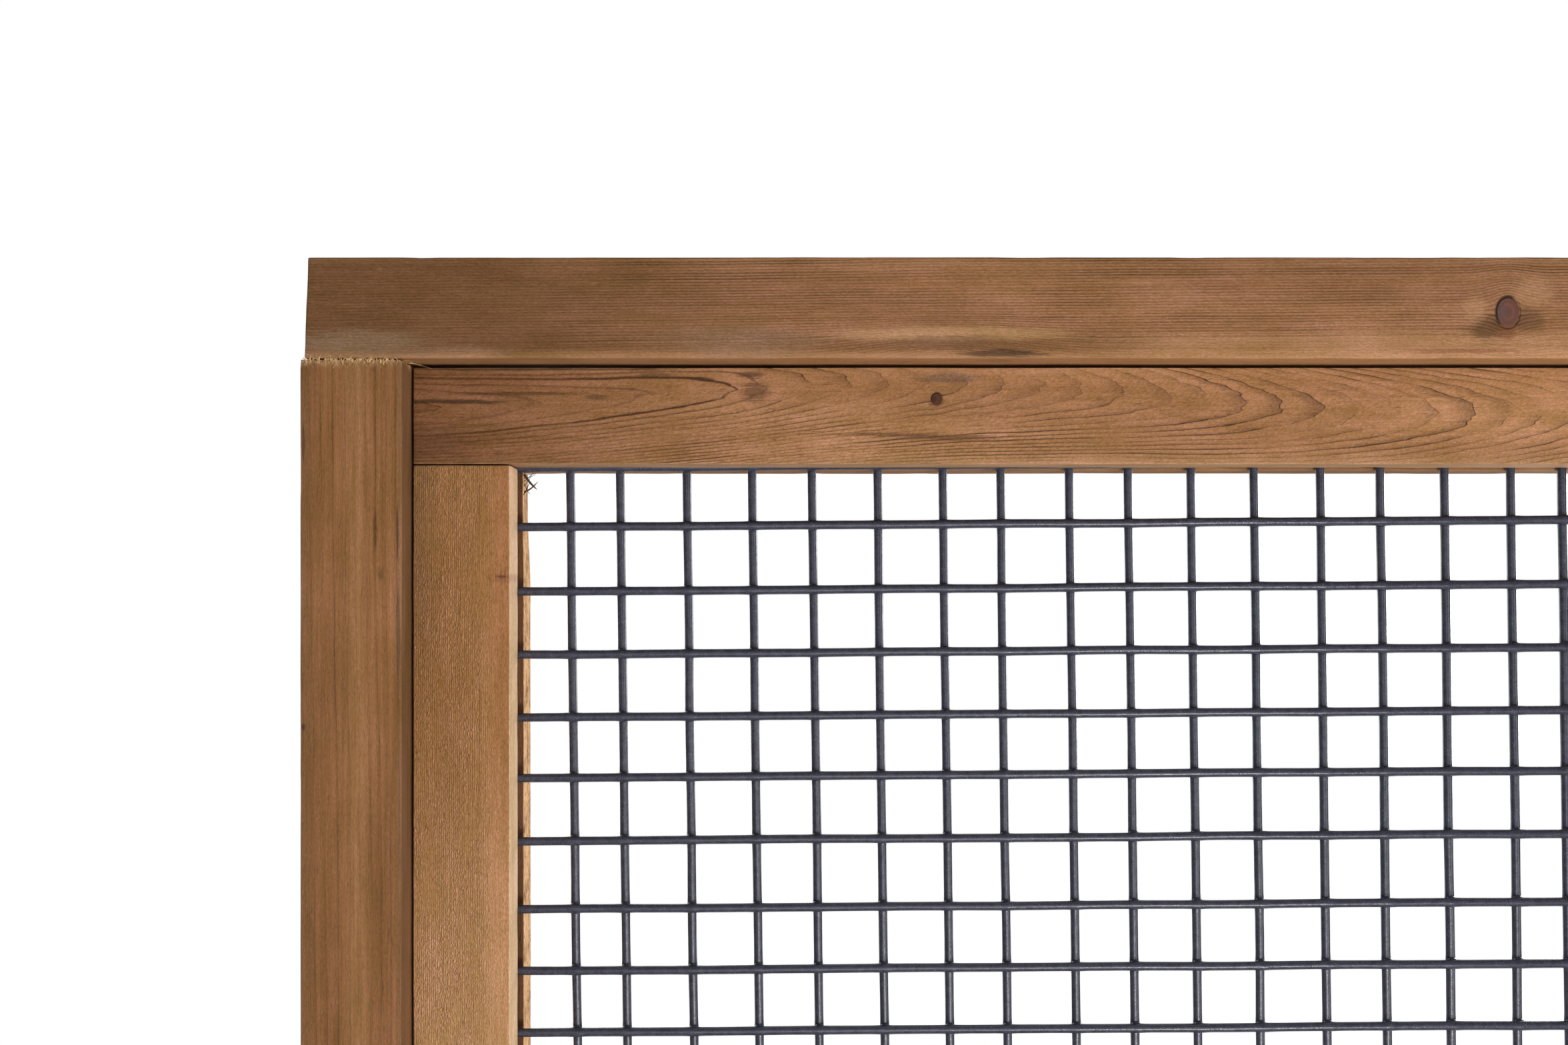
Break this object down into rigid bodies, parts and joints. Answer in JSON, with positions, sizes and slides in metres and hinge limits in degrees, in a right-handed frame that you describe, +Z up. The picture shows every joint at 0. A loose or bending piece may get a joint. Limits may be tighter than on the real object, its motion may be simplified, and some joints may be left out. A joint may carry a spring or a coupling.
{
  "type": "wire mesh panel",
  "caption": "Square timber-framed panel with a coated, welded wire mesh clamped between two rings of battens; screens or guards an opening while air and light pass through.",
  "frame": {"origin": "middle of the underside of the bottom rail, at the centre of the box in width and depth", "axes": "+X across the panel to the right seen from the front, +Y from the front face to the back, +Z up"},
  "size_m": [0.61, 0.075, 0.61],
  "materials": {
    "frame_timber": "stained, weathered, eased arrises",
    "front_batten_timber": "stained, flat sawn and rough sawn",
    "back_batten_timber": "stained face, raw sawn edge",
    "coated_wire": "satin dark slate grey plastic coating on steel wire",
    "screw_steel": "dull zinc"
  },
  "bodies": {
    "root": {"back_bottom_batten": "back_batten_timber", "back_left_batten": "back_batten_timber", "back_right_batten": "back_batten_timber", "back_screws": "screw_steel", "back_top_batten": "back_batten_timber", "bottom_rail": "frame_timber", "corner_screws": "screw_steel", "frame_screws": "screw_steel", "front_bottom_batten": "front_batten_timber", "front_left_batten": "front_batten_timber", "front_right_batten": "front_batten_timber", "front_top_batten": "front_batten_timber", "horizontal_wire_01": "coated_wire", "horizontal_wire_02": "coated_wire", "horizontal_wire_03": "coated_wire", "horizontal_wire_04": "coated_wire", "horizontal_wire_05": "coated_wire", "horizontal_wire_06": "coated_wire", "horizontal_wire_07": "coated_wire", "horizontal_wire_08": "coated_wire", "horizontal_wire_09": "coated_wire", "horizontal_wire_10": "coated_wire", "horizontal_wire_11": "coated_wire", "horizontal_wire_12": "coated_wire", "horizontal_wire_13": "coated_wire", "horizontal_wire_14": "coated_wire", "horizontal_wire_15": "coated_wire", "horizontal_wire_16": "coated_wire", "horizontal_wire_17": "coated_wire", "horizontal_wire_18": "coated_wire", "horizontal_wire_19": "coated_wire", "horizontal_wire_20": "coated_wire", "left_post": "frame_timber", "right_post": "frame_timber", "top_rail": "frame_timber", "vertical_wire_01": "coated_wire", "vertical_wire_02": "coated_wire", "vertical_wire_03": "coated_wire", "vertical_wire_04": "coated_wire", "vertical_wire_05": "coated_wire", "vertical_wire_06": "coated_wire", "vertical_wire_07": "coated_wire", "vertical_wire_08": "coated_wire", "vertical_wire_09": "coated_wire", "vertical_wire_10": "coated_wire", "vertical_wire_11": "coated_wire", "vertical_wire_12": "coated_wire", "vertical_wire_13": "coated_wire", "vertical_wire_14": "coated_wire", "vertical_wire_15": "coated_wire", "vertical_wire_16": "coated_wire", "vertical_wire_17": "coated_wire", "vertical_wire_18": "coated_wire", "vertical_wire_19": "coated_wire", "vertical_wire_20": "coated_wire"}
  },
  "joints": []
}
